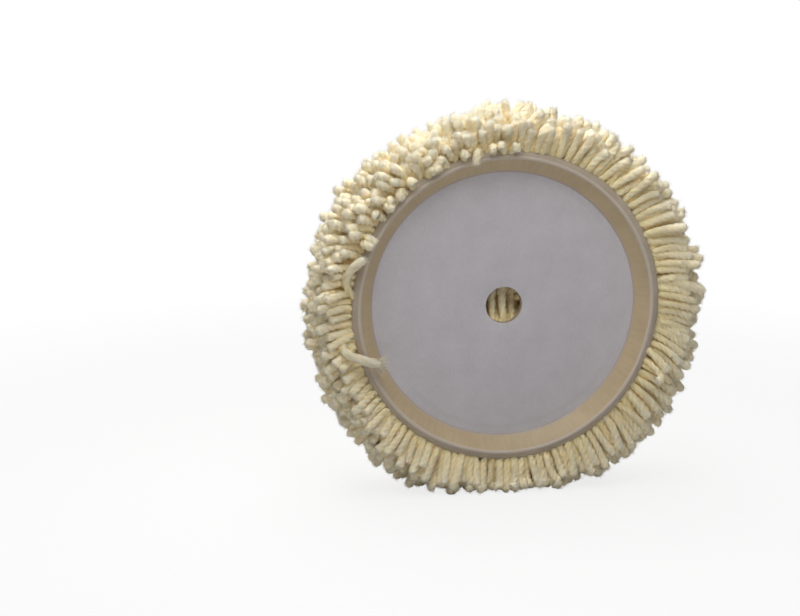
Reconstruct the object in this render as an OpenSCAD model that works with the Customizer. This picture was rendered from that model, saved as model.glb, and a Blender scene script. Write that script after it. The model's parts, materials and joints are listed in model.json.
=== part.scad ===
// Wool polishing pad with a recessed loop back, standing on the flattened edge of its pile.
// The spin axis is Y: the recess for the backing plate faces -Y and the wool face looks along +Y.
// The origin is the centre of the loop disc's outer face, on the spin axis, and +Z is up.

/* [Loop back] */
// Diameter of the loop disc that grips the backing plate
loop_d = 155; // [120:1:190]
// Thickness of the loop disc
loop_t = 1.6; // [1:0.1:3]
// Diameter of the centring hole through the back
hole_d = 21.5; // [12:0.5:30]
// Thickness of each film of glue
film_t = 0.3; // [0.1:0.05:0.6]
// Thickness of the stiffener board under the loop disc
board_t = 1.5; // [0.8:0.1:4]

/* [Cup] */
// Depth of the recess, from the lip down to the loop disc
recess_depth = 10; // [7:0.5:18]
// How far the recess widens on each side between the loop disc and the lip
recess_flare = 6.5; // [2:0.5:12]
// Clearance around the loop disc, the board and the films in the cup
seat_gap = 0.5; // [0.2:0.1:1.5]
// Thickness of the cup's floor
cup_floor_t = 1.5; // [0.8:0.1:4]
// Thickness of the cup's wall
cup_wall_t = 2.5; // [1.2:0.1:4]
// Bevel of the cup's outer corner
corner_bevel = 2.4; // [1:0.1:4]

/* [Backing cloth] */
// Thickness of the cloth that holds the tufts
cloth_t = 1.2; // [0.6:0.1:2.5]
// Width of the binding that covers the cloth's edge
binding_w = 4.2; // [2.5:0.1:8]
// Height of the binding along the spin axis
binding_h = 2.4; // [1.5:0.1:4]
// How far the binding lies below the lip
binding_drop = 0.8; // [0.2:0.1:1.5]
// Rounding of the binding's outer edge
binding_round = 0.8; // [0.3:0.1:1.2]

/* [Pile] */
// Length of the tufts on the face
face_pile = 28; // [15:0.5:40]
// Length of the tufts where the face turns into the side
shoulder_pile = 36; // [18:0.5:45]
// Length of the tufts beside the lip
side_pile = 28; // [15:0.5:40]
// Number of tuft rows on the face
face_rows = 7; // [4:1:9]
// Number of tuft rows on the shoulder
shoulder_rows = 2; // [1:1:3]
// Number of tuft rows on the side
side_rows = 3; // [2:1:4]
// Spacing of the tufts along a face row, at the cloth
face_pitch = 9.2; // [7:0.1:14]
// Spacing of the tufts along a shoulder or side row, at the cloth
side_pitch = 9.2; // [7:0.1:14]
// Thickness of the matted roots on the cloth
root_t = 3; // [1.5:0.25:6]
// Width of the furrow between two tufts, at their tips
furrow_w = 2.6; // [1:0.1:4]
// Height of the rounded end of a tuft
tip_h = 2.4; // [1:0.1:4]
// Clear distance between the roots of neighbouring rows
row_gap = 0.3; // [0.2:0.05:0.8]
// Lean of the outermost face tufts, away from the spin axis, in degrees
edge_lean = 18; // [5:1:30]
// Share of the hole's radius by which the innermost tufts lean over it
hole_cover = 0.5; // [0.1:0.05:0.7]
// Unevenness of the tufts' length, as a share of it
unevenness = 0.035; // [0:0.005:0.06]
// Depth of the flat that the pad's weight presses into the edge of the pile
rest_depth = 8.5; // [4:0.5:14]

/* [Hidden] */
// Places along the spin axis, from the loop disc's outer face towards the wool
board_a = loop_t + film_t;
seat_a = board_a + board_t + film_t;
cup_a = seat_a + cup_floor_t;
cloth_a = cup_a + cloth_t;
lip_a = -recess_depth;
binding_top_a = lip_a + binding_drop;
binding_a = binding_top_a + binding_h;

// Radii
hole_r = hole_d / 2;
loop_r = loop_d / 2;
seat_r = loop_r + seat_gap;
cup_r = seat_r + cup_wall_t;
lip_r = seat_r + recess_flare;
bead_r = cup_wall_t / 2;
// The bevel leaves enough of the corner between floor and wall
largest_bevel_share = 0.6;
cup_bevel = min(corner_bevel, largest_bevel_share * (cup_wall_t + cup_floor_t));
// Straight runs in the half round of the lip
lip_steps = 8;

// Outside of the cup, from the flat underside round the bevel and up the flared wall
cup_corner = [cup_r - cup_bevel, cup_a];
cup_heel = [cup_r, cup_a - cup_bevel];
cup_rim = [lip_r + cup_wall_t, lip_a + bead_r];
function wall_r(a) =
    cup_heel[0] + (cup_rim[0] - cup_heel[0]) * (cup_heel[1] - a) / (cup_heel[1] - cup_rim[1]);

// Outside of the cloth, where the tufts are rooted
bevel_turn = 45;
bevel_share = tan(bevel_turn / 2);
cloth_corner = cup_corner + cloth_t * [bevel_share, 1];
cloth_heel = cup_heel + cloth_t * [1, bevel_share];
cloth_edge = [wall_r(binding_a) + cloth_t, binding_a];

function between(a, b, share) = a + (b - a) * share;

// Boundaries between the tuft rows: root radius, root place, lean away from the axis, length
first_root_r = hole_r + row_gap;
first_lean = -asin(hole_cover * first_root_r / face_pile);
face_bounds = [for (j = [0 : face_rows])
    let (
        share = j / face_rows,
        root_r = between(first_root_r, cloth_corner[0], share))
    [root_r, cloth_a, between(first_lean, edge_lean, share), face_pile]];
side_lean = 90;
lean_step = (side_lean - edge_lean) / (shoulder_rows + side_rows);
function bound(from, to, from_pile, to_pile, share, lean) =
    let (root = between(from, to, share))
    [root[0], root[1], lean, between(from_pile, to_pile, share)];
shoulder_bounds = [for (j = [1 : shoulder_rows])
    bound(cloth_corner, cloth_heel, face_pile, shoulder_pile, j / shoulder_rows,
        edge_lean + j * lean_step)];
side_bounds = [for (j = [1 : side_rows])
    bound(cloth_heel, cloth_edge, shoulder_pile, side_pile, j / side_rows,
        edge_lean + (shoulder_rows + j) * lean_step)];
bounds = concat(face_bounds, shoulder_bounds, side_bounds);
function numbered(name, count) = [for (k = [1 : count]) str(name, "_", k)];
row_names = concat(
    numbered("face_tufts", face_rows),
    numbered("shoulder_tufts", shoulder_rows),
    numbered("side_tufts", side_rows));
row_count = len(row_names);
// Turn from each row to the next, so that no furrows line up
golden_turn = 137.5;

// Height of the surface that the pad stands on, below the spin axis
rest_z = rest_depth - (cloth_edge[0] + side_pile + tip_h);

wool_colour = "#efe0b8";
$fn = 96;

// Turns an outline of radius and axial place round the spin axis
module turned(outline) {
    rotate([-90, 0, 0])
        rotate_extrude()
            polygon(outline);
}

// Flat ring with the centring hole, between two axial places
module layer(outer_r, near_a, far_a) {
    turned([[hole_r, near_a], [outer_r, near_a], [outer_r, far_a], [hole_r, far_a]]);
}

// Loop fabric that the hooks of the backing plate grip
module loop_disc() {
    color("#e9e6ec")
        layer(loop_r, 0, loop_t);
}

// Glue between the loop fabric and the board
module loop_film() {
    color("#d8c79a")
        layer(loop_r, loop_t, board_a);
}

// Board that keeps the bottom of the recess flat
module stiffener_board() {
    color("#c9b184")
        layer(loop_r, board_a, board_a + board_t);
}

// Glue between the board and the cup
module board_film() {
    color("#d8c79a")
        layer(loop_r, board_a + board_t, seat_a);
}

// Latex cup: a floor with a flared wall and a rounded lip
module latex_cup() {
    lip = [for (s = [0 : lip_steps])
        let (turn = 180 * s / lip_steps)
        [lip_r + bead_r - bead_r * cos(turn), lip_a + bead_r - bead_r * sin(turn)]];
    color("#b9a274")
        turned(concat(
            [[hole_r, seat_a], [seat_r, seat_a], [seat_r, 0]],
            lip,
            [cup_heel, cup_corner, [hole_r, cup_a]]));
}

// Dished cloth that the yarn is sewn through
module backing_cloth() {
    color("#d9c9a0")
        turned([
            [hole_r, cup_a], cup_corner, cup_heel, [wall_r(binding_a), binding_a],
            cloth_edge, cloth_heel, cloth_corner, [hole_r, cloth_a]]);
}

// Binding over the cloth's edge, round the outside of the lip
module edge_binding() {
    outer_r = wall_r(binding_a) + binding_w;
    color("#cdb391")
        turned([
            [wall_r(binding_a), binding_a], [wall_r(binding_top_a), binding_top_a],
            [outer_r - binding_round, binding_top_a], [outer_r, binding_top_a + binding_round],
            [outer_r, binding_a]]);
}

function unit(v) = v / norm(v);
function heading(lean) = [sin(lean), cos(lean)];
function ring_point(p, turn) = [p[0] * cos(turn), p[1], p[0] * sin(turn)];
// The wool cannot reach below the surface that the pad stands on
function pressed(p) = [p[0], p[1], max(p[2], rest_z)];
function uneven(row, tuft, salt) = rands(-1, 1, 1, 1000 * salt + 100 * row + tuft)[0];
function tuft_count(row) = row < face_rows
    ? round(2 * PI * (bounds[row][0] + bounds[row + 1][0]) / 2 / face_pitch)
    : round(2 * PI * cloth_heel[0] / side_pitch);

// Two triangles for the four-cornered face a b c d
function quad(a, b, c, d) = [[a, b, c], [a, c, d]];

// One row of tufts, all fused to the matted roots on the cloth
module tuft_row(row) {
    count = tuft_count(row);
    low = bounds[row];
    high = bounds[row + 1];
    step = 360 / count;
    phase = row * golden_turn;
    // A ring of flat faces clears the round cloth and the row inside it when its corners stand out
    stand_out = 1 / cos(step / 2);
    high_stand_out = row < face_rows ? 1 : stand_out;
    low_root = [low[0], low[1]];
    high_root = [high[0], high[1]];
    along = unit(high_root - low_root);
    low_foot = low_root + along * row_gap / 2;
    high_foot = high_root - along * row_gap / 2;
    low_base = [low_foot[0] * stand_out, low_foot[1]];
    high_base = [high_foot[0] * high_stand_out, high_foot[1]];
    low_top = low_base + root_t * heading(low[2]);
    high_top = high_base + root_t * heading(high[2]);
    mean_heading = heading((low[2] + high[2]) / 2);

    // Four points a tuft on the cloth and the roots, shared with the next tuft
    shared = [for (i = [0 : count - 1])
        for (p = [low_base, high_base, low_top, high_top])
            pressed(ring_point(p, phase + step * i))];
    // Four corners and the peak of each tuft's end
    ends = [for (i = [0 : count - 1])
        let (
            grow = 1 + unevenness * uneven(row, i, 1),
            low_end = low_base + low[3] * grow * heading(low[2]),
            high_end = high_base + high[3] * grow * heading(high[2]),
            across = unit(high_end - low_end) * furrow_w / 2,
            low_tip = low_end + across,
            high_tip = high_end - across,
            low_trim = furrow_w / 2 / low_tip[0] * 180 / PI,
            high_trim = furrow_w / 2 / high_tip[0] * 180 / PI,
            sway = high_trim * uneven(row, i, 2) / 2,
            start = phase + step * i + sway,
            end = start + step,
            peak = (low_tip + high_tip) / 2 + tip_h * mean_heading)
        for (p = [
            ring_point(low_tip, start + low_trim), ring_point(high_tip, start + high_trim),
            ring_point(high_tip, end - high_trim), ring_point(low_tip, end - low_trim),
            ring_point(peak, start + step / 2)])
            pressed(p)];
    first_end = 4 * count;
    faces = [for (i = [0 : count - 1])
        let (
            a = 4 * i,
            b = 4 * ((i + 1) % count),
            e = first_end + 5 * i)
        for (f = concat(
            quad(a, b, b + 1, a + 1),
            quad(a, a + 2, b + 2, b),
            quad(a + 1, b + 1, b + 3, a + 3),
            quad(a + 2, e, e + 3, b + 2),
            quad(a + 3, b + 3, e + 2, e + 1),
            quad(a + 2, a + 3, e + 1, e),
            quad(b + 2, e + 3, e + 2, b + 3),
            [for (s = [0 : 3]) [e + s, e + (s + 1) % 4, e + 4]]))
            f];
    color(wool_colour)
        polyhedron(concat(shared, ends), faces, convexity = 10);
}

loop_disc();
loop_film();
stiffener_board();
board_film();
latex_cup();
backing_cloth();
edge_binding();
for (row = [0 : row_count - 1])
    tuft_row(row);
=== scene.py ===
"""Wool polishing pad: the looks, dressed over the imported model.

The spin axis is Y, the recess of the back faces -Y, and the pad stands on the edge of its pile.
Lengths are in metres, angles in degrees, and a turn is counted from +X towards +Z.
"""
import itertools
import json
import math
from collections import namedtuple

import bpy
import numpy as np
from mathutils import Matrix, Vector


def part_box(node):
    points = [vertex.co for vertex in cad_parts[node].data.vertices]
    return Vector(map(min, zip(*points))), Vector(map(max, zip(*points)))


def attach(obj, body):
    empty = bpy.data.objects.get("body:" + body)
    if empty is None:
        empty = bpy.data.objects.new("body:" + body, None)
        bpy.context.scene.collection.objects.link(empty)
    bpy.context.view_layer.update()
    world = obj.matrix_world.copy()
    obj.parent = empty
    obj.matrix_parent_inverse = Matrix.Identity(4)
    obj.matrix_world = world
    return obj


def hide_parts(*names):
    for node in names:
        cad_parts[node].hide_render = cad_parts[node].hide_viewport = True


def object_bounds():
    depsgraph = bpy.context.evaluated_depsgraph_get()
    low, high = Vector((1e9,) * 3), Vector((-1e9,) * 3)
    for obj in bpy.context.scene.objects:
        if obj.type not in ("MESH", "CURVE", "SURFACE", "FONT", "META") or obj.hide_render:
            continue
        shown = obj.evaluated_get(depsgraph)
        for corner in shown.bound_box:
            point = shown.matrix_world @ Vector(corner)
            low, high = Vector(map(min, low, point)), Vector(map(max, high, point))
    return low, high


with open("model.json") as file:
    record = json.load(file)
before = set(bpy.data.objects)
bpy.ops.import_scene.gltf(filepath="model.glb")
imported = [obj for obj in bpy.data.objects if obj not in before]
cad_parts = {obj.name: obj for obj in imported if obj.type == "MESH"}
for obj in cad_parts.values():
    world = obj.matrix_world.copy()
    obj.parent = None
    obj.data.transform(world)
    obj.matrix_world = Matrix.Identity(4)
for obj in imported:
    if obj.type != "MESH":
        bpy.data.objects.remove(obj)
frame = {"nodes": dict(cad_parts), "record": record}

CAD_LOW, CAD_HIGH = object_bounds()
MM = 0.001
TINY = 1e-6
RANDOM = np.random.default_rng(23)

# Sizes of the back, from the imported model
_, disc_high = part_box("loop_disc")
cup_low, cup_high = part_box("latex_cup")
cloth_low, cloth_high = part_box("backing_cloth")
binding_low, binding_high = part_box("edge_binding")
HOLE_MOUNT = next(m for m in frame["record"]["mounts"] if m["name"] == "centre_hole")
HOLE_R = HOLE_MOUNT["dims"]["r_mm"] * MM
DISC_R = disc_high.x
DISC_BACK = disc_high.y
LIP_Y = cup_low.y
CUP_BACK = cup_high.y
RIM_R = cup_high.x
BINDING_R = binding_high.x
BINDING_TOP = binding_low.y
BINDING_BACK = binding_high.y
CLOTH_Y = cloth_high.y
CLOTH_EDGE = np.array([cloth_high.x, cloth_low.y])
FLOOR_Z = CAD_LOW.z

# Sizes of the cup that its box does not give
SEAT_GAP = 0.5 * MM
CUP_WALL = 2.5 * MM
CUP_FLOOR = 1.5 * MM
CUP_BEVEL = 2.4 * MM
CLOTH_BEVEL = 3.1 * MM
CUP_AND_CLOTH = 4.2 * MM
CLOTH_HEEL = np.array([DISC_R + CUP_AND_CLOTH, CLOTH_Y - CLOTH_BEVEL])
CLOTH_CORNER = np.array([DISC_R + CUP_AND_CLOTH - CLOTH_BEVEL, CLOTH_Y])

# Yarn
YARN_R = 2.4 * MM
YARN_PITCH = 4.5 * MM
PLIES = 3
PLY_TURN = 11 * MM
PLY_SHAPE = (0.85, 1.0, 1.05, 1.0)
CHAIN_NODES = 8


def mix(low, high, share):
    """The value that lies the given share of the way from low to high."""
    return low + (high - low) * share


def ring_point(radius, place, turn):
    """Point in space at a radius from the spin axis, a place along it and a turn in radians."""
    return np.stack([radius * np.cos(turn), place + 0 * turn, radius * np.sin(turn)], axis=-1)


def unit(vectors):
    return vectors / np.linalg.norm(vectors, axis=-1, keepdims=True)


# Camera, at the photograph's viewing angle
LENS = 58.5
SENSOR = 36
VIEW_TURN = -8.5
VIEW_RISE = 11.1
VIEW_DISTANCE = 0.743
VIEW_TARGET = Vector((-0.061, 0, 0.0002))


def make_camera():
    data = bpy.data.cameras.new("camera")
    data.lens = LENS
    data.sensor_width = SENSOR
    data.sensor_fit = "HORIZONTAL"
    camera = bpy.data.objects.new("camera", data)
    bpy.context.scene.collection.objects.link(camera)
    turn = math.radians(VIEW_TURN)
    rise = math.radians(VIEW_RISE)
    away = Vector((
        math.sin(turn) * math.cos(rise),
        -math.cos(turn) * math.cos(rise),
        math.sin(rise)))
    camera.location = VIEW_TARGET + VIEW_DISTANCE * away
    camera.rotation_euler = (-away).to_track_quat("-Z", "Y").to_euler()
    bpy.context.scene.camera = camera


# Shader nodes
def feed(tree, socket, value):
    """Links another node's output into a socket, or sets a plain value on it."""
    if isinstance(value, bpy.types.NodeSocket):
        tree.links.new(value, socket)
    else:
        socket.default_value = value


def node(tree, kind, inputs=None, **settings):
    made = tree.nodes.new(kind)
    for key, value in settings.items():
        setattr(made, key, value)
    for key, value in (inputs or {}).items():
        feed(tree, made.inputs[key], value)
    return made


def noise(tree, vector, scale, detail=3.0, roughness=0.55):
    inputs = {"Vector": vector, "Scale": scale, "Detail": detail, "Roughness": roughness}
    return node(tree, "ShaderNodeTexNoise", inputs).outputs["Fac"]


def stretched(tree, vector, scale):
    return node(tree, "ShaderNodeMapping", {"Vector": vector, "Scale": scale}).outputs["Vector"]


def maths(tree, operation, first, second=0.0):
    return node(tree, "ShaderNodeMath", {0: first, 1: second}, operation=operation).outputs[0]


def mixed(tree, factor, low, high, blend="MIX"):
    """Mixes two colours."""
    inputs = {0: factor, 6: low, 7: high}
    return node(tree, "ShaderNodeMix", inputs, data_type="RGBA", blend_type=blend).outputs[2]


def tinted(tree, colour, layer):
    """Multiplies a colour by another."""
    return mixed(tree, 1.0, colour, layer, "MULTIPLY")


def ramp(tree, factor, stops):
    """Colour that runs through stops of (place, colour)."""
    made = node(tree, "ShaderNodeValToRGB", {"Fac": factor})
    elements = made.color_ramp.elements
    while len(elements) < len(stops):
        elements.new(0.5)
    for element, (place, colour) in zip(elements, stops):
        element.position = place
        element.color = colour
    return made.outputs["Color"]


def rising(tree, value, start, full):
    """Nought where a value has not reached the start, and one where it has passed the full mark."""
    inputs = {"Value": value, "From Min": start, "From Max": full}
    return node(tree, "ShaderNodeMapRange", inputs, clamp=True).outputs[0]


def grey(level):
    return (level, level, level, 1)


def bump(tree, height, distance, strength=1.0, normal=None):
    inputs = {"Height": height, "Distance": distance, "Strength": strength}
    if normal is not None:
        inputs["Normal"] = normal
    return node(tree, "ShaderNodeBump", inputs).outputs["Normal"]


def object_place(tree):
    return node(tree, "ShaderNodeTexCoord").outputs["Object"]


def around_axis(tree):
    """Coordinates round the spin axis: the turn and the place along the axis."""
    split = node(tree, "ShaderNodeSeparateXYZ", {0: object_place(tree)})
    x, y, z = (split.outputs[k] for k in range(3))
    return maths(tree, "ARCTAN2", z, x), y


def strand_value(tree, name):
    """Value that the strands' meshes carry under a name."""
    return node(tree, "ShaderNodeAttribute", attribute_name=name).outputs["Fac"]


def new_material(name, roughness, **sockets):
    """A material, its node tree and its shader, with plain values set on the shader's own sockets."""
    material = bpy.data.materials.new(name)
    material.use_nodes = True
    tree = material.node_tree
    shader = tree.nodes["Principled BSDF"]
    shader.inputs["Roughness"].default_value = roughness
    for key, value in sockets.items():
        shader.inputs[key.replace("_", " ").title().replace("Ior", "IOR")].default_value = value
    return material, tree, shader.inputs


# Materials
# Colours along a strand from root to tip: the yellower root colour is painted warm shade deep in the pile,
# between the strands
WOOL_ROOT_PAINTED_SHADE = (0.995, 0.89, 0.55, 1)
WOOL_MIDDLE = (0.995, 0.92, 0.68, 1)
WOOL_TIP = (0.998, 0.945, 0.77, 1)
WOOL_SHEEN = (1.0, 0.94, 0.78, 1)
# Painted shade in the grooves between the plies
WOOL_GROOVE_PAINTED_SHADE = (0.975, 0.92, 0.79, 1)
WOOL_SHADE = (0.985, 0.97, 0.94, 1)
WOOL_SCATTER = (3.2 * MM, 2.5 * MM, 1.5 * MM)
WOOL_ROUGHNESS = 0.92
WOOL_GLOSS = 0.1
# Fibres in the yarn's surface: scale round and along the strand, per millimetre, and depth
FIBRE_SCALE = (1.1, 0.14, 1)
FIBRE_DEPTH = 0.35 * MM
FELT_SCALE = 1100
FELT_DEPTH = 0.35 * MM
FIBRE_COLOUR = (1.0, 0.975, 0.89, 1)
FIBRE_SHADE = 0.95


def wool_material():
    """Twisted yarn that lets light spread under its surface, with painted shade: yellower towards the root
    and darker, yellower in the grooves between its plies.
    """
    material, tree, inputs = new_material(
        "wool yarn", WOOL_ROUGHNESS, specular_ior_level=WOOL_GLOSS, diffuse_roughness=1.0,
        sheen_weight=1.0, sheen_roughness=0.45, sheen_tint=WOOL_SHEEN,
        subsurface_weight=1.0, subsurface_radius=WOOL_SCATTER, subsurface_scale=1.0)
    tree.nodes["Principled BSDF"].subsurface_method = "BURLEY"
    along, tint, ply = (strand_value(tree, name) for name in ("along", "tint", "ply"))
    strand = node(tree, "ShaderNodeUVMap", uv_map="Strand").outputs["UV"]
    fibres = noise(tree, stretched(tree, strand, FIBRE_SCALE), 1.0, 5.0, 0.7)
    # Painted shade: yellower towards the root, where the strands shade one another deep in the pile
    colour = ramp(tree, along, ((0.0, WOOL_ROOT_PAINTED_SHADE), (0.55, WOOL_MIDDLE), (0.93, WOOL_TIP)))
    shade = ramp(tree, tint, ((0.0, WOOL_SHADE), (1.0, grey(1.01))))
    # Painted shade: darker and yellower in the grooves between the plies
    painted_groove_shade = ramp(tree, ply, ((0.0, WOOL_GROOVE_PAINTED_SHADE), (0.6, grey(1))))
    streak = ramp(tree, fibres, ((0.32, grey(0.95)), (0.62, grey(1.005))))
    for layer in (shade, painted_groove_shade, streak):
        colour = tinted(tree, colour, layer)
    feed(tree, inputs["Base Color"], colour)
    felt = noise(tree, object_place(tree), FELT_SCALE, 4, 0.7)
    felted = bump(tree, felt, FELT_DEPTH, 0.7)
    feed(tree, inputs["Normal"], bump(tree, fibres, FIBRE_DEPTH, 0.6, felted))
    return material


def fibre_material():
    """Loose fibres, thin enough for light to pass through."""
    material, tree, inputs = new_material(
        "loose wool fibres", WOOL_ROUGHNESS, specular_ior_level=WOOL_GLOSS, diffuse_roughness=1.0)
    shade = ramp(tree, strand_value(tree, "tint"), ((0.0, grey(FIBRE_SHADE)), (1.0, grey(1))))
    colour = tinted(tree, shade, FIBRE_COLOUR)
    feed(tree, inputs["Base Color"], colour)
    through = node(tree, "ShaderNodeBsdfTranslucent", {"Color": colour})
    shader = tree.nodes["Principled BSDF"]
    both = node(tree, "ShaderNodeMixShader", {0: 0.5, 1: shader.outputs[0], 2: through.outputs[0]})
    tree.links.new(both.outputs[0], tree.nodes["Material Output"].inputs["Surface"])
    return material


LOOP_COLOUR = (0.865, 0.83, 0.872, 1)
LOOP_DARK = (0.805, 0.77, 0.812, 1)


def loop_material():
    material, tree, inputs = new_material(
        "loop fabric", 0.88, sheen_weight=0.10, sheen_roughness=0.45, specular_ior_level=0.2)
    place = object_place(tree)
    cloud = noise(tree, place, 60, 3)
    nap = noise(tree, stretched(tree, place, (1.0, 1.0, 0.45)), 900, 3, 0.6)
    loops = noise(tree, place, 2600, 2, 0.5)
    colour = ramp(tree, cloud, ((0.30, LOOP_DARK), (0.70, LOOP_COLOUR)))
    colour = tinted(tree, colour, ramp(tree, nap, ((0.3, grey(0.965)), (0.7, grey(1.03)))))
    feed(tree, inputs["Base Color"], colour)
    fine = bump(tree, loops, 0.12 * MM, 0.5)
    feed(tree, inputs["Normal"], bump(tree, nap, 0.15 * MM, 0.5, fine))
    return material


LATEX_COLOUR = (0.67, 0.525, 0.315, 1)
LATEX_PALE = (0.745, 0.60, 0.395, 1)
# Paler colour along the lip: a painted highlight on its rolled edge
LATEX_LIP_PAINTED_HIGHLIGHT = (0.76, 0.66, 0.55, 1)
LATEX_FOOT = (0.66, 0.55, 0.48, 1)
LATEX_SCATTER = (1.6 * MM, 1.2 * MM, 0.8 * MM)
# Places along the axis where the lip's painted highlight, a paler band, and the foot's colour start and are
# full
LIP_HIGHLIGHT_BAND = (LIP_Y + 1.5 * MM, LIP_Y + 0.6 * MM)
FOOT_BAND = (-1.2 * MM, -0.2 * MM)
# Fine ribs in the wall: scale per radian round it and per metre along the axis
RIBS_ROUND = 40
RIBS_ALONG = 90


def latex_material():
    material, tree, inputs = new_material(
        "moulded latex", 0.42, specular_ior_level=0.45,
        subsurface_weight=0.25, subsurface_radius=LATEX_SCATTER, subsurface_scale=0.8)
    turn, y = around_axis(tree)
    round_wall = node(tree, "ShaderNodeCombineXYZ", {
        0: maths(tree, "MULTIPLY", turn, RIBS_ROUND),
        1: maths(tree, "MULTIPLY", y, RIBS_ALONG)})
    ribs = noise(tree, round_wall.outputs[0], 1.0, 3, 0.6)
    cloud = noise(tree, object_place(tree), 45, 3)
    colour = ramp(tree, ribs, ((0.25, LATEX_COLOUR), (0.80, LATEX_PALE)))
    colour = tinted(tree, colour, ramp(tree, cloud, ((0.3, grey(0.94)), (0.7, grey(1.05)))))
    # Painted highlight: paler along the lip
    colour = mixed(tree, rising(tree, y, *LIP_HIGHLIGHT_BAND), colour, LATEX_LIP_PAINTED_HIGHLIGHT)
    colour = mixed(tree, rising(tree, y, *FOOT_BAND), colour, LATEX_FOOT)
    feed(tree, inputs["Base Color"], colour)
    feed(tree, inputs["Normal"], bump(tree, ribs, 0.15 * MM, 0.6))
    return material


BINDING_COLOUR = (0.60, 0.49, 0.37, 1)
BINDING_PALE = (0.68, 0.58, 0.47, 1)


def binding_material():
    material, tree, inputs = new_material(
        "coated edge tape", 0.6, specular_ior_level=0.3,
        subsurface_weight=0.2, subsurface_radius=LATEX_SCATTER, subsurface_scale=0.8)
    place = object_place(tree)
    cloud = noise(tree, place, 110, 4)
    weave = noise(tree, place, 1500, 2)
    feed(tree, inputs["Base Color"], ramp(tree, cloud, ((0.3, BINDING_COLOUR), (0.7, BINDING_PALE))))
    feed(tree, inputs["Normal"], bump(tree, weave, 0.1 * MM, 0.6))
    return material


def hidden_material(name, dark, pale, grain):
    """Plain sheet stock with a mottled grain of the given scale."""
    material, tree, inputs = new_material(name, 0.8, specular_ior_level=0.25)
    speckle = noise(tree, object_place(tree), grain, 4, 0.65)
    feed(tree, inputs["Base Color"], ramp(tree, speckle, ((0.3, dark), (0.7, pale))))
    feed(tree, inputs["Normal"], bump(tree, speckle, 0.1 * MM, 0.6))
    return material


# Pieces
def add_piece(name, mesh, material, slot, *nodes):
    mesh.materials.append(material)
    piece = bpy.data.objects.new(name, mesh)
    bpy.context.scene.collection.objects.link(piece)
    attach(piece, "root")
    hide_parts(*nodes)


def mesh_from_faces(name, points, corners, sizes):
    """A smooth mesh from points, the point of each face corner in turn, and each face's corner count."""
    mesh = bpy.data.meshes.new(name)
    mesh.vertices.add(len(points))
    mesh.vertices.foreach_set("co", points.astype(np.float32).ravel())
    mesh.loops.add(len(corners))
    mesh.loops.foreach_set("vertex_index", corners.astype(np.int32))
    mesh.polygons.add(len(sizes))
    starts = np.concatenate([[0], np.cumsum(sizes)[:-1]])
    mesh.polygons.foreach_set("loop_start", starts.astype(np.int32))
    mesh.polygons.foreach_set("use_smooth", np.ones(len(sizes), dtype=bool))
    mesh.update(calc_edges=True)
    return mesh


def arc(centre, radius, start, stop, steps):
    """Outline points on an arc, with angles from the radius axis towards the spin axis."""
    angles = np.radians(np.linspace(start, stop, steps + 1))
    return [(centre[0] + radius * math.cos(a), centre[1] + radius * math.sin(a)) for a in angles]


def turned_mesh(name, outline, steps, sway=None):
    """A closed body of revolution round the spin axis, from an outline of (radius, place) points."""
    outline = np.array(outline)
    turn = np.linspace(0, 2 * math.pi, steps, endpoint=False)[:, None]
    radius = outline[None, :, 0] + 0 * turn
    place = outline[None, :, 1] + 0 * turn
    if sway is not None:
        more_radius, more_place = sway(turn, radius, place)
        radius = radius + more_radius
        place = place + more_place
    points = ring_point(radius, place, turn)
    count = len(outline)
    a = np.arange(steps)[:, None] * count
    b = np.roll(a, -1, axis=0)
    j = np.arange(count)[None, :]
    k = np.roll(j, -1, axis=1)
    corners = np.stack([a + j, a + k, b + k, b + j], axis=-1)
    return mesh_from_faces(name, points.reshape(-1, 3), corners.ravel(), np.full(steps * count, 4))


def eased(share):
    """A share from 0 to 1 that starts and ends softly."""
    return 3 * share**2 - 2 * share**3


def waves(turn, height, counts):
    """Slow uneven swell round the axis, the same on every run."""
    phases = RANDOM.uniform(0, 2 * math.pi, len(counts))
    return height * sum(np.sin(n * turn + p) / math.sqrt(n) for n, p in zip(counts, phases))


DIMPLE_R = 16.5 * MM
DIMPLE_DEPTH = 0.7 * MM
DISC_EDGE_BAND = 6.5 * MM
DISC_EDGE_SLOPE = 0.3 * DISC_EDGE_BAND
DISC_EDGE_DROP = 0.22 * MM
DISC_ROUND = 0.2 * MM
DISC_SWELL = 0.05 * MM
DISC_RINGS = 70
DISC_STEPS = 256


def make_loop_disc():
    """Loop fabric, pressed in around the hole and glued down along its edge."""
    rings = np.linspace(HOLE_R + DISC_ROUND, DISC_R - DISC_ROUND, DISC_RINGS)
    dimple = np.clip((DIMPLE_R - rings) / (DIMPLE_R - HOLE_R), 0, 1)
    edge = np.clip((rings - DISC_R + DISC_EDGE_BAND) / DISC_EDGE_SLOPE, 0, 1)
    drop = DIMPLE_DEPTH * eased(dimple) + DISC_EDGE_DROP * eased(edge)
    face = list(zip(rings, drop))
    inner = arc((HOLE_R + DISC_ROUND, drop[0] + DISC_ROUND), DISC_ROUND, 180, 270, 4)
    outer = arc((DISC_R - DISC_ROUND, drop[-1] + DISC_ROUND), DISC_ROUND, 270, 360, 4)
    outline = [(HOLE_R, DISC_BACK)] + inner[:-1] + face + outer[1:] + [(DISC_R, DISC_BACK)]

    def sway(turn, radius, place):
        lift = waves(turn, DISC_SWELL, (2, 3, 5)) * radius / DISC_R
        return 0 * radius, lift * (place < DISC_BACK)

    mesh = turned_mesh("loop_fabric", outline, DISC_STEPS, sway)
    add_piece("loop_fabric", mesh, loop_material(), "loop", "loop_disc")


BEAD_ON_DISC = 0.5 * MM
BEAD_R = 0.7 * MM
WALL_HOLLOW = 0.5 * MM
WALL_RINGS = 14
LIP_SWAY = 0.25 * MM
LIP_SWELL = 0.16 * MM
RIM_STEPS = 320


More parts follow.
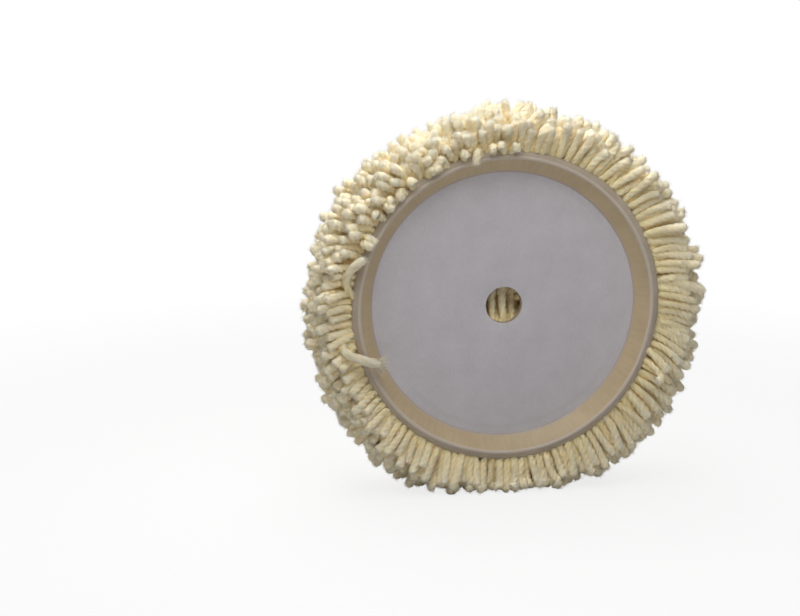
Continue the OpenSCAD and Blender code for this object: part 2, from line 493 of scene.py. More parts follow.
def make_cup():
    """Cup with a rounded foot, a softly hollow wall and a rolled lip."""
    seat_r = DISC_R + SEAT_GAP
    bead = CUP_WALL / 2
    lip_r = RIM_R - CUP_WALL
    seat_y = CUP_BACK - CUP_FLOOR
    heel_r = seat_r + CUP_WALL
    share = np.linspace(0, 1, WALL_RINGS)
    hollow = WALL_HOLLOW * np.sin(math.pi * share)
    bead_middle = (DISC_R - BEAD_ON_DISC, DISC_EDGE_DROP - BEAD_R)
    squeezed_out = arc(bead_middle, BEAD_R, 85, 10, 6)
    foot_r, foot_y = squeezed_out[-1]
    wall = list(zip(mix(foot_r, lip_r, share) + hollow, mix(foot_y, LIP_Y + bead, share)))
    lip = arc((lip_r + bead, LIP_Y + bead), bead, 180, 360, 12)
    outline = [(HOLE_R, seat_y), (seat_r, seat_y), (seat_r, DISC_EDGE_DROP + SEAT_GAP)]
    outline += squeezed_out + wall[1:] + lip[1:]
    outline += [(heel_r, CUP_BACK - CUP_BEVEL), (heel_r - CUP_BEVEL, CUP_BACK), (HOLE_R, CUP_BACK)]

    def sway(turn, radius, place):
        high = np.clip(place / LIP_Y, 0, 1)**2
        return high * waves(turn, LIP_SWAY, (2, 3, 5, 8)), high * waves(turn, LIP_SWELL, (3, 4, 7))

    mesh = turned_mesh("latex_shell", outline, RIM_STEPS, sway)
    add_piece("latex_shell", mesh, latex_material(), "latex", "latex_cup")


TAPE_OVERLAP = 0.9 * MM
TAPE_BELOW_LIP = 0.35 * MM
TAPE_SWAY = 0.35 * MM
TAPE_SWELL = 0.2 * MM


def make_binding():
    """Coated tape that runs on from the lip in one round, a little uneven along its outer edge."""
    inner_r = RIM_R - TAPE_OVERLAP
    top_y = LIP_Y + TAPE_BELOW_LIP
    angles = np.radians(np.linspace(90, 0, 12))
    width, height = BINDING_R - inner_r, BINDING_BACK - top_y
    outline = [(inner_r + width * math.cos(a), BINDING_BACK - height * math.sin(a)) for a in angles]
    outline.append((inner_r, BINDING_BACK))

    def sway(turn, radius, place):
        outward = (radius - inner_r) / width
        wander = waves(turn, TAPE_SWAY, (3, 7, 11, 19))
        lift = waves(turn, TAPE_SWELL, (5, 9, 13))
        return outward * wander, outward * lift

    mesh = turned_mesh("edge_tape", outline, RIM_STEPS, sway)
    add_piece("edge_tape", mesh, binding_material(), "binding", "edge_binding")


# Loose fibres: count along a strand and round its end, shortest and longest, and radius
Fuzz = namedtuple("Fuzz", "along tips shortest longest radius")
FACE_FUZZ = Fuzz(16, 60, 0.9 * MM, 2.0 * MM, 0.11 * MM)
SIDE_FUZZ = Fuzz(50, 80, 0.9 * MM, 2.3 * MM, 0.11 * MM)
FRAYED_FUZZ = Fuzz(0, 120, 3.0 * MM, 8.0 * MM, 0.22 * MM)

# Zone of the cloth: rows sewn for each node, where they start and end as (radius, place), lean in degrees
# and length of pile there, share of the REACH table, rings along a strand, and thickness of its end
Zone = namedtuple(
    "Zone", "prefix sewn start end start_lean end_lean start_pile end_pile swelled rings bloom fuzz")
FACE_PILE = 28 * MM
SHOULDER_PILE = 38 * MM
SIDE_PILE = 21 * MM
SIDE_CUT = 1.5
HOLE_LEAN = -20
EDGE_LEAN = 18
HEEL_LEAN = 47
SIDE_LEAN = 90
FIRST_ROOT = np.array([HOLE_R + 0.6 * MM, CLOTH_Y])
ZONES = (
    Zone(
        "face_tufts", 2, FIRST_ROOT, CLOTH_CORNER, HOLE_LEAN, EDGE_LEAN, FACE_PILE, FACE_PILE,
        swelled=0, rings=12, bloom=1.36, fuzz=FACE_FUZZ),
    Zone(
        "shoulder_tufts", 3, CLOTH_CORNER, CLOTH_HEEL, EDGE_LEAN, HEEL_LEAN, FACE_PILE, SHOULDER_PILE,
        swelled=0.6, rings=14, bloom=1.24, fuzz=SIDE_FUZZ),
    Zone(
        "side_tufts", 3, CLOTH_HEEL, CLOTH_EDGE, HEEL_LEAN, SIDE_LEAN, SHOULDER_PILE, SIDE_PILE,
        swelled=1, rings=17, bloom=1.18, fuzz=SIDE_FUZZ),
)
GOLDEN_TURN = math.radians(137.5)
ROOT_JITTER = 0.2
# Shares that strands are longer by at most, and shorter by at the face and at the rear
LONGEST = 0.07
SHORTEST_FRONT = -0.05
SHORTEST_REAR = -0.32
LEAN_SPREAD = math.radians(9)
SWAY_SPREAD = 0.15
CURL_SPREAD = 0.28
# How loosely the strands lie where they are calmest, and the share of any looseness that the face has
CALMEST = 0.5
FACE_CALM = 0.5
# Where the strands lie loosely: turn and spread in degrees, and how much
LOOSE = ((115, 48, 0.45), (222, 28, 0.40), (345, 25, 0.20))
BACK_CURL = 1.6
CURL_POWER = 1.3
CLUMP_SIZE = 7
FACE_CLUMP = 0.02
SIDE_CLUMP = 0.22
SAG = 0.45
SAG_POWER = 1.2
# Where the rear strands are combed back over the rim: turn, spread and lean in degrees
BACK_COMBED = ((95, 16, 20), (122, 14, 26), (150, 16, 24), (185, 16, 6), (215, 16, 18), (268, 30, 18))
COMBED_AT_ROOT = 0.4
# Where the side strands are longer or shorter: turn and spread in degrees, and share of the length
REACH = ((0, 45, 0.14), (50, 20, -0.05), (320, 22, 0.07), (108, 14, -0.10), (238, 12, 0.12))
# Where the rearmost strands are longer still
REAR_REACH = ((0, 60, 0.21),)
# Strands that flop over the lip: turn at the root and the tip, radius and place of the tip, and how far
# out from the tape they bulge on the way
FLOPPED = [
    (175, 159, 88 * MM, -15 * MM, 14 * MM),
    (338, 333, 99 * MM, -14.5 * MM, 16 * MM),
    (341, 337.5, 103 * MM, -14.5 * MM, 8 * MM)]
BULGE_ABOVE_LIP = 5 * MM
BULGE_AT = 0.4
# Short ones side by side: how many, first and last turn, spread of the root's and the tip's turn, range
# of the tip's radius and place in millimetres, and bulge
SHORT_FLOPS = 15
SHORT_TURNS = (88, 156)
SHORT_ROOT_SPREAD = 2
SHORT_TIP_SPREAD = 3
SHORT_TIP_R = (84, 94)
SHORT_TIP_Y = (-15, -12)
SHORT_BULGE = 7 * MM


def short_flops():
    """Rows for the table of strands that flop over the lip."""
    rows = []
    spread = RANDOM.uniform(-SHORT_ROOT_SPREAD, SHORT_ROOT_SPREAD, SHORT_FLOPS)
    for turn in np.linspace(*SHORT_TURNS, SHORT_FLOPS) + spread:
        tip_turn = turn + RANDOM.uniform(-SHORT_TIP_SPREAD, SHORT_TIP_SPREAD)
        tip_r = RANDOM.uniform(*SHORT_TIP_R) * MM
        tip_y = RANDOM.uniform(*SHORT_TIP_Y) * MM
        rows.append((turn, tip_turn, tip_r, tip_y, SHORT_BULGE))
    return rows


FLOPPED += short_flops()
# Strand pulled loose: turn at the root and the tip, radius and place of the tip, and radius it folds at
PULLED = (190, 202, 79 * MM, -13.5 * MM, 102 * MM)
FOLD_BELOW_LIP = 8 * MM
FOLD_ABOVE_LIP = 14 * MM
FOLD_TURN = 3
# Strands that cross behind the hole: offset from the axis along X and depth, in millimetres
CROSSING = (
    (-5.4, 9.6), (0.9, 9.0), (7.2, 13.0), (-9.0, 14.0), (-2.4, 15.0), (4.0, 15.5), (9.6, 16.0),
    (-6.2, 20.0), (-0.6, 20.5), (5.0, 20.5))
CROSSING_STEP = 3
CROSSING_BELOW = 1.5 * MM
CROSSING_ABOVE = 4 * MM
CROSSING_LIFT = 3 * MM
CROSSING_BEND_Z = -2 * MM


def zone_nodes(zone):
    names = [name for name in frame["nodes"] if name.startswith(zone.prefix)]
    return sorted(names)


def messiness(turn):
    """How loosely the strands lie at a turn in radians."""
    return CALMEST + swells(turn, LOOSE)


def swells(turn, table):
    """Sum of the smooth swells in a table of (turn, spread, height), at turns in radians."""
    total = 0 * turn
    for middle, spread, height in table:
        off = (np.degrees(turn) - middle + 180) % 360 - 180
        total += height * np.exp(-0.5 * (off / spread)**2)
    return total


def lay_out():
    """Every strand's root, heading, curl, length, share of the way to the rear, and node, row by row."""
    roots, heads, curls, lengths, rears, owners = [], [], [], [], [], []
    row = 0
    for zone in ZONES:
        names = zone_nodes(zone)
        rows = len(names) * zone.sewn
        for k in range(rows):
            share = (k + 0.5) / rows
            radius, place = mix(zone.start, zone.end, share)
            count = round(2 * math.pi * radius / YARN_PITCH)
            stitch = np.arange(count) + RANDOM.uniform(-ROOT_JITTER, ROOT_JITTER, count)
            turn = GOLDEN_TURN * row + 2 * math.pi * stitch / count
            rear = share if zone.prefix == "side_tufts" else 0.0
            lean = math.radians(mix(zone.start_lean, zone.end_lean, share))
            loose = messiness(turn) * mix(FACE_CALM, 1.0, zone.swelled)
            combed = np.radians(swells(turn, BACK_COMBED))
            lean = lean + loose * RANDOM.normal(0, LEAN_SPREAD, count) + COMBED_AT_ROOT * rear * combed
            sway = loose * RANDOM.normal(0, SWAY_SPREAD, count)
            outward = ring_point(1.0, 0.0, turn)
            sideways = ring_point(1.0, 0.0, turn + math.pi / 2)
            axis = np.array([0.0, 1.0, 0.0])
            head = np.sin(lean)[:, None] * outward + np.cos(lean)[:, None] * axis + sway[:, None] * sideways
            roots.append(ring_point(radius, place, turn))
            heads.append(unit(head))
            pile = mix(zone.start_pile, zone.end_pile, share**SIDE_CUT)
            longer = 1 + zone.swelled * swells(turn, REACH) + rear * swells(turn, REAR_REACH)
            shortest = mix(SHORTEST_FRONT, SHORTEST_REAR, rear * loose)
            lengths.append(pile * longer * (1 + RANDOM.uniform(shortest, LONGEST, count)))
            rears.append(np.full(count, rear))
            curl = CURL_SPREAD * loose[:, None] * RANDOM.normal(0, 1, (count, 3))
            curls.append(curl - (rear * np.sin(combed))[:, None] * BACK_CURL * axis)
            owners += [names[k // zone.sewn]] * count
            row += 1
    return (np.concatenate(part) for part in (roots, heads, curls, lengths, rears, [np.array(owners)]))


def clumped(roots, heads, lengths, strength):
    """Headings that gather neighbouring tips into clumps."""
    tips = roots + heads * lengths[:, None]
    seeds = tips[RANDOM.choice(len(tips), len(tips) // CLUMP_SIZE, replace=False)]
    nearest = np.argmin(((tips[:, None] - seeds[None])**2).sum(axis=2), axis=1)
    members = np.bincount(nearest, minlength=len(seeds))
    sums = [np.bincount(nearest, tips[:, k], len(seeds)) for k in range(3)]
    middles = np.stack(sums, axis=1) / members[:, None]
    gathered = mix(tips, middles[nearest], strength[:, None])
    return unit(gathered - roots)


def near_pairs(points, reach):
    """Pairs of points that lie in the same or neighbouring cells of a grid with cells of one reach."""
    cell = np.floor(points / reach).astype(np.int64)
    cell -= cell.min(axis=0) - 1
    wide, deep = cell[:, 1].max() + 2, cell[:, 2].max() + 2
    key = (cell[:, 0] * wide + cell[:, 1]) * deep + cell[:, 2]
    order = np.argsort(key, kind="stable")
    ordered = key[order]
    firsts, seconds = [], []
    for dx, dy, dz in itertools.product((-1, 0, 1), repeat=3):
        shift = (dx * wide + dy) * deep + dz
        start = np.searchsorted(ordered, key + shift, "left")
        count = np.searchsorted(ordered, key + shift, "right") - start
        first = np.repeat(np.arange(len(points)), count)
        offset = np.arange(count.sum()) - np.repeat(np.cumsum(count) - count, count)
        second = order[np.repeat(start, count) + offset]
        once = first < second
        firsts.append(first[once])
        seconds.append(second[once])
    return np.concatenate(firsts), np.concatenate(seconds)


SETTLE_TURNS = 45
FIRST_FREE = 2
CONTACT = 4.5 * MM
PUSH = 0.35
LARGEST_PUSH = 0.8 * MM
ROOT_STIFFNESS = 0.30
TIP_STIFFNESS = 0.08
RIM_CLEAR = 1.3 * MM + YARN_R
RIM_INSET = 1.0 * MM
BACK_LIMIT = CAD_LOW.y - 7 * MM
REAR_ROW = 0.85
FAR_OFF = 1000


def push_apart(chains, held):
    """Moves touching strands away from each other."""
    count, nodes = chains.shape[0], CHAIN_NODES - FIRST_FREE
    beads = chains[:, FIRST_FREE:].reshape(-1, 3)
    first, second = near_pairs(beads, CONTACT)
    other = first // nodes != second // nodes
    first, second = first[other], second[other]
    gap = beads[second] - beads[first]
    far = np.maximum(np.linalg.norm(gap, axis=1), TINY)
    push = gap * (PUSH * np.maximum(CONTACT - far, 0) / far)[:, None]
    move = np.stack([
        np.bincount(second, push[:, k], len(beads)) - np.bincount(first, push[:, k], len(beads))
        for k in range(3)], axis=1)
    size = np.maximum(np.linalg.norm(move, axis=1, keepdims=True), TINY)
    move *= np.minimum(1, LARGEST_PUSH / size)
    move = move.reshape(count, nodes, 3)
    move[held] = 0
    chains[:, FIRST_FREE:] += move


def straighten(chains, headings, segment, held):
    """Draws each strand towards its own shape, and keeps its length."""
    free = ~held
    for k in range(1, CHAIN_NODES):
        stiffness = mix(ROOT_STIFFNESS, TIP_STIFFNESS, k / (CHAIN_NODES - 1))
        before = chains[free, k - 1]
        wanted = before + segment[free, None] * headings[free, k]
        step = unit(mix(chains[free, k], wanted, stiffness) - before)
        chains[free, k] = before + segment[free, None] * step


def keep_clear(chains):
    """Keeps the strands on the floor, off the rim and out of the recess."""
    chains[..., 2] = np.maximum(chains[..., 2], FLOOR_Z + YARN_R)
    tail = chains[:, FIRST_FREE:]
    radius = np.hypot(tail[..., 0], tail[..., 2])
    rim_r = np.clip(radius, RIM_R - CUP_WALL / 2, BINDING_R - RIM_CLEAR + YARN_R)
    rim_y = BINDING_TOP + RIM_INSET
    off_r, off_y = radius - rim_r, tail[..., 1] - rim_y
    far = np.maximum(np.hypot(off_r, off_y), TINY)
    short = np.maximum(RIM_CLEAR - far, 0) / far
    grown = (radius + off_r * short) / np.maximum(radius, TINY)
    tail[..., 0] *= grown
    tail[..., 2] *= grown
    tail[..., 1] += off_y * short
    tail[..., 1] = np.maximum(tail[..., 1], BACK_LIMIT + YARN_R)


def bent(*points):
    """Chain along a smooth bend from the first point to the last, drawn towards those between."""
    share = np.linspace(0, 1, CHAIN_NODES)[:, None]
    order = len(points) - 1
    return sum(
        math.comb(order, k) * (1 - share)**(order - k) * share**k * point for k, point in enumerate(points))


def lay_special(chains, roots, rears, owners):
    """Sets the strand pulled loose and those that flop over the lip or cross behind the hole.

    Returns which strands these are, and the number of the one pulled loose.
    """
    held = np.zeros(len(chains), dtype=bool)
    turns = np.degrees(np.arctan2(roots[:, 2], roots[:, 0])) % 360
    rear_row = rears > REAR_ROW

    def rear_strand(turn):
        off = np.abs((turns - turn + 180) % 360 - 180)
        return np.argmin(off + FAR_OFF * ~rear_row + FAR_OFF * held)

    def placed(radius, place, turn):
        return ring_point(radius, place, np.array(math.radians(turn)))

    root_turn, tip_turn, tip_r, tip_y, fold_r = PULLED
    frayed = rear_strand(root_turn)
    chains[frayed] = bent(
        roots[frayed],
        placed(fold_r, LIP_Y + FOLD_BELOW_LIP, root_turn),
        placed(fold_r, LIP_Y - FOLD_ABOVE_LIP, root_turn + FOLD_TURN),
        placed(tip_r, tip_y, tip_turn))
    held[frayed] = True
    for root_turn, tip_turn, tip_r, tip_y, bulge in FLOPPED:
        k = rear_strand(root_turn)
        bulge_turn = mix(root_turn, tip_turn, BULGE_AT)
        control = placed(BINDING_R + bulge, LIP_Y - BULGE_ABOVE_LIP, bulge_turn)
        chains[k] = bent(roots[k], control, placed(tip_r, tip_y, tip_turn))
        held[k] = True
    first_node = np.flatnonzero(owners == zone_nodes(ZONES[0])[0])
    for k, place in zip(first_node[::CROSSING_STEP], CROSSING):
        x, y = np.array(place) * MM
        roots[k] = (x, CLOTH_Y, -HOLE_R - CROSSING_BELOW)
        bend = np.array([x, 2 * y - CLOTH_Y - CROSSING_LIFT / 2, CROSSING_BEND_Z])
        tip = np.array([x, y + CROSSING_LIFT, HOLE_R + CROSSING_ABOVE])
        chains[k] = bent(roots[k], bend, tip)
        held[k] = True
    return held, frayed


def grow_pile():
    """Chains of nodes along every strand, with its length and owner, and the number of the frayed one."""
    roots, heads, curls, lengths, rears, owners = lay_out()
    face = np.char.startswith(owners, "face")
    heads = clumped(roots, heads, lengths, np.where(face, FACE_CLUMP, SIDE_CLUMP))
    segment = lengths / (CHAIN_NODES - 1)
    share = np.arange(CHAIN_NODES) / (CHAIN_NODES - 1)
    down = np.array([0.0, 0.0, -1.0])
    bend = curls[:, None] * share[None, :, None]**CURL_POWER
    headings = unit(heads[:, None] + bend + SAG * share[None, :, None]**SAG_POWER * down)
    chains = roots[:, None] + np.cumsum(headings * segment[:, None, None], axis=1)
    chains = np.concatenate([roots[:, None], chains[:, :-1]], axis=1)
    held, frayed = lay_special(chains, roots, rears, owners)
    for _ in range(SETTLE_TURNS):
        push_apart(chains, held)
        straighten(chains, headings, segment, held)
        keep_clear(chains)
    return chains, lengths, owners, frayed


def smooth_curve(chains, places):
    """Points on the smooth curve through each chain's nodes, at each strand's places counted in nodes."""
    before = 2 * chains[:, :1] - chains[:, 1:2]
    after = 2 * chains[:, -1:] - chains[:, -2:-1]
    padded = np.concatenate([before, chains, after], axis=1)
    first = np.clip(places.astype(int), 0, CHAIN_NODES - 2)
    t = (places - first)[..., None]
    p0, p1, p2, p3 = (np.take_along_axis(padded, (first + k)[..., None], axis=1) for k in range(4))
    return 0.5 * (
        2 * p1 + (p2 - p0) * t
        + (2 * p0 - 5 * p1 + 4 * p2 - p3) * t**2
        + (3 * p1 - p0 - 3 * p2 + p3) * t**3)


# A slanting direction to start from, which a strand is not likely to run along
ODD_WAY = np.array([0.31, 0.52, 0.79])


def frames_along(points):
    """Two directions across each curve that turn as little as they can along it."""
    tangent = unit(np.gradient(points, axis=1))
    side = np.cross(tangent[:, 0], ODD_WAY)
    sides = []
    for k in range(points.shape[1]):
        along = tangent[:, k]
        side = unit(side - along * (side * along).sum(axis=1, keepdims=True))
        sides.append(side)
    sides = np.stack(sides, axis=1)
    return sides, np.cross(tangent, sides)


# End of a strand: distance from the tip and thickness, in yarn radii
TIP_DOME = ((0.95, 1.0), (0.68, 0.95), (0.42, 0.82), (0.20, 0.61), (0.05, 0.32))
DOME_FROM = 1.3
RING_POWER = 1.35
ROUNDED_END = 4.5 * MM
ROOT_THICKNESS = 0.86
BLOOM_FROM = 0.55
SURFACE_SPREAD = 0.03
THICKNESS_SPREAD = 0.07
CELL_MARGIN = 0.06
MAP_SPREAD = 500


def yarn_profile(zone, length):
    """Places of a strand's rings, as shares of its length, and its thickness there in yarn radii."""
    dome = np.array(TIP_DOME)
    tube = 1 - (1 - np.linspace(0, 1, zone.rings, endpoint=False))**RING_POWER
    shares = np.concatenate([
        tube * (1 - DOME_FROM * YARN_R / length),
        1 - dome[:, 0] * YARN_R / length])
    thickness = mix(ROOT_THICKNESS, 1.0, np.clip(shares / BLOOM_FROM, 0, 1))
    thickness *= mix(1.0, zone.bloom, np.clip((shares - BLOOM_FROM) / (1 - BLOOM_FROM), 0, 1))
    thickness[zone.rings:] *= dome[:, 1]
    return shares, thickness


def yarn_mesh(name, chains, lengths, tints, zone):
    """Twisted yarn with rounded ends along each chain, as closed tubes in one mesh."""
    count = len(chains)
    sides = PLIES * len(PLY_SHAPE)
    mean_length = lengths.mean()
    shares, thickness = yarn_profile(zone, mean_length)
    middle = smooth_curve(chains, np.broadcast_to(shares * (CHAIN_NODES - 1), (count, len(shares))))
    across, beside = frames_along(middle)
    twist = 2 * math.pi * shares[None, :] * lengths[:, None] / PLY_TURN
    twist = twist + RANDOM.uniform(0, 2 * math.pi, count)[:, None]
    angle = twist[:, :, None] + 2 * math.pi * np.arange(sides) / sides
    girth = YARN_R * (1 + RANDOM.normal(0, THICKNESS_SPREAD, count))
    lobes = np.tile(PLY_SHAPE, PLIES)
    rounded = np.clip(1 - (1 - shares) * mean_length / ROUNDED_END, 0, 1)
    reach = girth[:, None, None] * thickness[None, :, None] * mix(lobes, 1.0, rounded[:, None])
    reach = reach * (1 + RANDOM.normal(0, SURFACE_SPREAD, reach.shape))
    points = middle[:, :, None] + reach[..., None] * (
        np.cos(angle)[..., None] * across[:, :, None] + np.sin(angle)[..., None] * beside[:, :, None])
    points[..., 2] = np.maximum(points[..., 2], FLOOR_Z)

    ring_count = len(shares)
    r = np.arange(ring_count - 1)[:, None]
    s = np.arange(sides)[None, :]
    next_s = (s + 1) % sides
    quads = np.stack([
        r * sides + s, r * sides + next_s, (r + 1) * sides + next_s, (r + 1) * sides + s], axis=-1)
    top = (ring_count - 1) * sides + np.arange(sides)
    bottom = np.arange(sides)[::-1]
    one = np.concatenate([quads.ravel(), top, bottom])
    one_sizes = np.concatenate([np.full(quads.size // 4, 4), [sides, sides]])
    starts = np.arange(count)[:, None] * ring_count * sides
    mesh = mesh_from_faces(name, points.reshape(-1, 3), (one + starts).ravel(), np.tile(one_sizes, count))

    # Where each face corner lies round and along its strand
    one_round = np.concatenate([
        np.broadcast_to(np.stack([s, s + 1, s + 1, s], axis=-1), quads.shape).ravel(),
        np.arange(sides), np.arange(sides)[::-1]]) / sides
    one_along = np.concatenate([
        np.broadcast_to(shares[np.stack([r, r, r + 1, r + 1], axis=-1)], quads.shape).ravel(),
        np.full(sides, shares[-1]), np.zeros(sides)])
    inner = np.stack([one_round, one_along], axis=-1)
    girth_mm = 2 * math.pi * YARN_R / MM
    shift = RANDOM.uniform(0, MAP_SPREAD, (count, 1, 2))
    strand = inner * np.array([girth_mm, mean_length / MM]) + shift
    along = np.broadcast_to(shares[None, :, None], (count, ring_count, sides))
    low, high = min(PLY_SHAPE), max(PLY_SHAPE)
    ply = np.broadcast_to((lobes - low) / (high - low), along.shape)
    tint = np.broadcast_to(tints[:, None, None], along.shape)
    dress_mesh(mesh, inner, strand, along=along, ply=ply, tint=tint)
    return mesh


def dress_mesh(mesh, inner, strand, **values):
    """Maps and attributes that the wool's material reads: inner is one copy's map, repeated in a grid."""
    count = len(strand)
    columns = math.ceil(math.sqrt(2 * count))
    rows = math.ceil(count / columns)
    cells = np.stack([np.arange(count) % columns, np.arange(count) // columns], axis=-1)
    inner = inner * (1 - 2 * CELL_MARGIN) + CELL_MARGIN
    atlas = (cells[:, None] + inner[None]) / np.array([columns, rows])
    for name, place in (("OFBake", atlas), ("Strand", strand)):
        mesh.uv_layers.new(name=name).data.foreach_set("uv", place.astype(np.float32).ravel())
    for name, value in values.items():
        attribute = mesh.attributes.new(name, "FLOAT", "POINT")
        attribute.data.foreach_set("value", value.astype(np.float32).ravel())


# Loose fibres that stand off the yarn
FIBRE_FROM = 0.35
TIP_FROM = 0.94
FIBRE_SUNK = 0.3 * MM
NODE_STEP = 0.05
# How far the fibres turn away from the strand: at its end, and along it outwards and round it
TIP_FAN = 1.3
SIDE_FAN = (0.25, 0.9)
SIDE_TWIST = (0.1, 0.9)
FIBRE_SEAT = 0.95
FIBRE_FACES = np.array([[0, 1, 3], [1, 2, 3], [2, 0, 3], [0, 2, 1]])


def fuzz_mesh(name, chains, tints, fuzz):
    """Fine pointed fibres along each strand and fanned out round its cut end, as closed slivers."""
    count = len(chains)
    many = fuzz.along + fuzz.tips
    shares = np.concatenate([
        RANDOM.uniform(FIBRE_FROM, TIP_FROM, (count, fuzz.along)),
        RANDOM.uniform(TIP_FROM, 1, (count, fuzz.tips))], axis=1)
    places = shares * (CHAIN_NODES - 1)
    middle = smooth_curve(chains, places)
    tangent = unit(smooth_curve(chains, places + NODE_STEP) - smooth_curve(chains, places - NODE_STEP))
    radial = RANDOM.normal(0, 1, (count, many, 3))
    radial = unit(radial - tangent * (radial * tangent).sum(axis=2, keepdims=True))
    at_tip = np.arange(many)[None, :, None] >= fuzz.along
    each = (count, many, 1)
    fanned = RANDOM.uniform(0.0, TIP_FAN, each)
    outward = np.where(at_tip, fanned, RANDOM.uniform(*SIDE_FAN, each))
    around = np.where(at_tip, 0.0, RANDOM.uniform(*SIDE_TWIST, each))
    heading = unit(tangent + outward * radial + around * np.cross(tangent, radial))
    reach = np.where(at_tip, outward / TIP_FAN, FIBRE_SEAT) * YARN_R
    base = middle + reach * radial - FIBRE_SUNK * heading
    length = RANDOM.uniform(fuzz.shortest, fuzz.longest, each)
    side = unit(np.cross(heading, RANDOM.normal(0, 1, heading.shape)))
    other = np.cross(heading, side)
    corners = [
        base + fuzz.radius * (math.cos(a) * side + math.sin(a) * other)
        for a in 2 * math.pi / 3 * np.arange(3)]
    points = np.stack(corners + [base + length * heading], axis=2).reshape(-1, 3)
    points[:, 2] = np.maximum(points[:, 2], FLOOR_Z)

    faces = FIBRE_FACES[None] + 4 * np.arange(count * many)[:, None, None]
    mesh = mesh_from_faces(name, points, faces.ravel(), np.full(faces.size // 3, 3))
    triangle = ((0, 0), (1, 0), (0.5, 1))
    inner = np.array([((k + across) / 4, up) for k in range(4) for across, up in triangle])
    shift = RANDOM.uniform(0, MAP_SPREAD, (count * many, 1, 2))
    strand = np.broadcast_to(shift, (count * many, len(inner), 2))
    dress_mesh(mesh, inner, strand, tint=np.repeat(tints, 4 * many))
    return mesh


def make_pile():
    wool = wool_material()
    fibres = fibre_material()
    chains, lengths, owners, frayed = grow_pile()
    for zone in ZONES:
        for name in zone_nodes(zone):
            mine = owners == name
            tints = RANDOM.uniform(0, 1, mine.sum())
            yarn = yarn_mesh(name.replace("tufts", "yarn"), chains[mine], lengths[mine], tints, zone)
            add_piece(yarn.name, yarn, wool, "wool", name)
            fuzz = fuzz_mesh(name.replace("tufts", "fuzz"), chains[mine], tints, zone.fuzz)
            add_piece(fuzz.name, fuzz, fibres, "wool", name)
    wisps = fuzz_mesh("frayed_end", chains[[frayed]], np.ones(1), FRAYED_FUZZ)
    add_piece(wisps.name, wisps, fibres, "wool", owners[frayed])


# Layers that stay as they were built, behind the loop fabric and the pile
HIDDEN = (
    ("backing_cloth", "coated canvas", (0.52, 0.42, 0.25, 1), (0.62, 0.52, 0.34, 1), 1400),
    ("stiffener_board", "fibre board", (0.45, 0.36, 0.22, 1), (0.56, 0.46, 0.30, 1), 700),
    ("loop_film", "glue under the loops", (0.58, 0.50, 0.33, 1), (0.66, 0.58, 0.42, 1), 250),
    ("board_film", "glue under the board", (0.58, 0.50, 0.33, 1), (0.66, 0.58, 0.42, 1), 250),
)


def finish_hidden():
    for name, label, dark, pale, grain in HIDDEN:
        kept = frame["nodes"][name]
        kept.data.materials.clear()
        kept.data.materials.append(hidden_material(label, dark, pale, grain))


# Stage
LIGHT_BOUNCES = 20
FLOOR_SIZE = 6.0
FLOOR_WHITE = (0.99, 0.99, 0.99, 1)
FLOOR_GLOW = 0.8
FLOOR_BOUNCE = (0.6, 0.6, 0.6, 1)
FADE_FROM = 0.22
FADE_TO = 0.70
SKY_FRONT = 0.05
SKY_BEHIND = 1.32
# Lamps: name, place, size and power in watts
LAMPS = (
    ("above", (-0.10, 0.11, 0.62), 0.6, 1.95),
    ("above the lip", (-0.10, -0.13, 0.36), 0.35, 0.55),
    ("upper left", (-0.15, -0.35, 0.42), 0.4, 0.25),
    ("upper right", (0.15, -0.35, 0.45), 0.4, 0.31),
)


def seen_directly(tree):
    """One for rays that come from the camera, a mirror or glass, and nought for the rest."""
    path = node(tree, "ShaderNodeLightPath")
    seen = maths(tree, "MAXIMUM", path.outputs["Is Camera Ray"], path.outputs["Is Glossy Ray"])
    return maths(tree, "MAXIMUM", seen, path.outputs["Is Transmission Ray"])


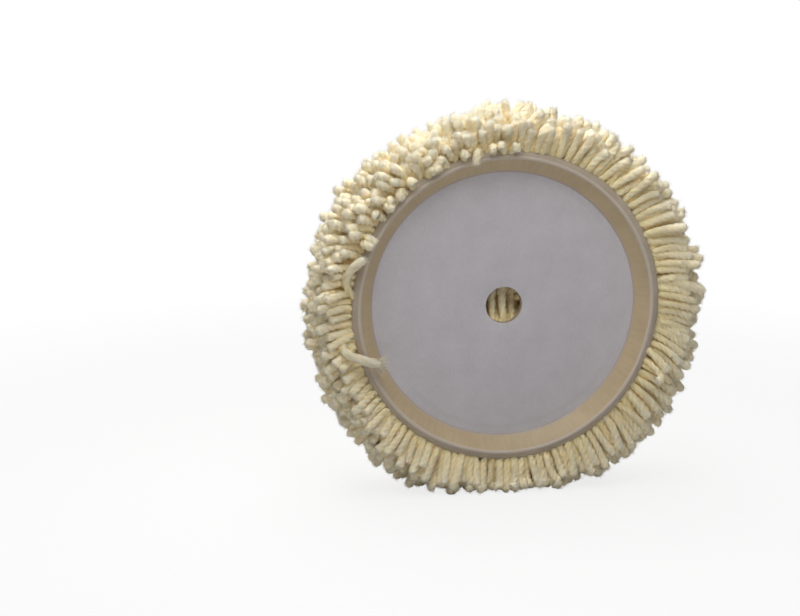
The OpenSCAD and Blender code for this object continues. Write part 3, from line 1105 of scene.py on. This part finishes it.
def floor_material():
    """Pale floor that takes the shadow, runs out into white and lights the object less than it shows."""
    material = bpy.data.materials.new("floor")
    material.use_nodes = True
    tree = material.node_tree
    tree.nodes.clear()
    seen = seen_directly(tree)
    colour = mixed(tree, seen, FLOOR_BOUNCE, FLOOR_WHITE)
    matte = node(tree, "ShaderNodeBsdfDiffuse", {"Color": colour})
    white = node(tree, "ShaderNodeEmission", {"Color": grey(1), "Strength": 1})
    away = node(tree, "ShaderNodeVectorMath", {0: object_place(tree)}, operation="LENGTH")
    fade = node(tree, "ShaderNodeMapRange", {
        "Value": away.outputs["Value"], "From Min": FADE_FROM, "From Max": FADE_TO,
        "To Min": FLOOR_GLOW}, interpolation_type="SMOOTHSTEP")
    blend = maths(tree, "MULTIPLY", fade.outputs[0], seen)
    both = node(tree, "ShaderNodeMixShader", {0: blend, 1: matte.outputs[0], 2: white.outputs[0]})
    node(tree, "ShaderNodeOutputMaterial", {"Surface": both.outputs[0]})
    return material


def make_floor():
    half = FLOOR_SIZE / 2
    mesh = bpy.data.meshes.new("floor")
    corners = [(-half, -half, 0), (half, -half, 0), (half, half, 0), (-half, half, 0)]
    mesh.from_pydata(corners, [], [(0, 1, 2, 3)])
    mesh.materials.append(floor_material())
    floor = bpy.data.objects.new("floor", mesh)
    floor.location.z = FLOOR_Z
    bpy.context.scene.collection.objects.link(floor)


def make_lamps():
    for name, place, size, power in LAMPS:
        data = bpy.data.lights.new(name, "AREA")
        data.shape = "DISK"
        data.size = size
        data.energy = power
        lamp = bpy.data.objects.new(name, data)
        lamp.location = place
        lamp.rotation_euler = (-Vector(place)).to_track_quat("-Z", "Y").to_euler()
        bpy.context.scene.collection.objects.link(lamp)


def make_world():
    """White to the eye, with its light coming from a wide pale wall behind the object."""
    world = bpy.data.worlds.new("studio")
    world.use_nodes = True
    tree = world.node_tree
    tree.nodes.clear()
    way = node(tree, "ShaderNodeSeparateXYZ", {0: node(tree, "ShaderNodeTexCoord").outputs["Generated"]})
    wall = node(tree, "ShaderNodeMapRange", {
        "Value": way.outputs["Y"], "To Min": SKY_FRONT, "To Max": SKY_BEHIND})
    level = mixed(tree, seen_directly(tree), wall.outputs[0], grey(1))
    sky = node(tree, "ShaderNodeBackground", {"Color": level})
    node(tree, "ShaderNodeOutputWorld", {"Surface": sky.outputs[0]})
    bpy.context.scene.world = world


make_camera()
make_loop_disc()
make_cup()
make_binding()
make_pile()
finish_hidden()
make_floor()
make_lamps()
make_world()
bpy.context.scene.view_settings.view_transform = "Standard"
bpy.context.scene.cycles.max_bounces = LIGHT_BOUNCES
bpy.context.scene.cycles.diffuse_bounces = LIGHT_BOUNCES
